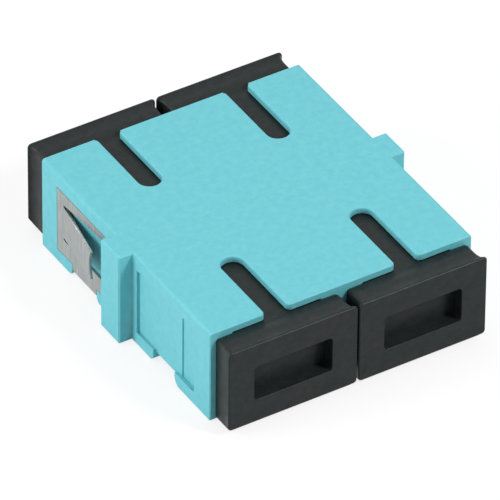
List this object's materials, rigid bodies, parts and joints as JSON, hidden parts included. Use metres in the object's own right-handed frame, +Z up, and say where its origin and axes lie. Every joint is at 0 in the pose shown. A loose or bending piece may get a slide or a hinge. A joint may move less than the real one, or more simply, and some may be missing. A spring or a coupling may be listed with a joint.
{
  "type": "duplex fibre optic adapter",
  "caption": "Duplex push-pull fibre adapter: aqua housing with short side tabs, folded steel panel clip, keyed ports and black push-in dust caps.",
  "frame": {"origin": "centre of the housing's bottom face, on the seam between the two halves", "axes": "+X across the two ports towards the right tab, +Y along the ports towards the rear mouths, +Z up through the lid with the keyways"},
  "size_m": [0.0282, 0.033, 0.0093],
  "materials": {
    "aqua_housing": "satin moulded",
    "insert_white": "satin moulded",
    "ceramic": "ground zirconia",
    "spring_steel": "stamped spring steel",
    "black_cap": "soft matte"
  },
  "bodies": {
    "adapter": {"housing_front": "aqua_housing", "housing_rear": "aqua_housing", "latch_insert_front_left": "insert_white", "latch_insert_front_right": "insert_white", "latch_insert_rear_left": "insert_white", "latch_insert_rear_right": "insert_white", "sleeve_left": "ceramic", "sleeve_right": "ceramic", "spring_clip": "spring_steel"},
    "cap_front_left": {"dust_cap_front_left": "black_cap"},
    "cap_front_right": {"dust_cap_front_right": "black_cap"},
    "cap_rear_left": {"dust_cap_rear_left": "black_cap"},
    "cap_rear_right": {"dust_cap_rear_right": "black_cap"}
  },
  "joints": [
    {"name": "cap_front_left_pull", "type": "slide", "parent": "adapter", "child": "cap_front_left", "axis": [0, -1, 0], "range_m": [0, 0.024]},
    {"name": "cap_front_right_pull", "type": "slide", "parent": "adapter", "child": "cap_front_right", "axis": [0, -1, 0], "range_m": [0, 0.024]},
    {"name": "cap_rear_left_pull", "type": "slide", "parent": "adapter", "child": "cap_rear_left", "axis": [0, 1, 0], "range_m": [0, 0.024]},
    {"name": "cap_rear_right_pull", "type": "slide", "parent": "adapter", "child": "cap_rear_right", "axis": [0, 1, 0], "range_m": [0, 0.024]}
  ]
}
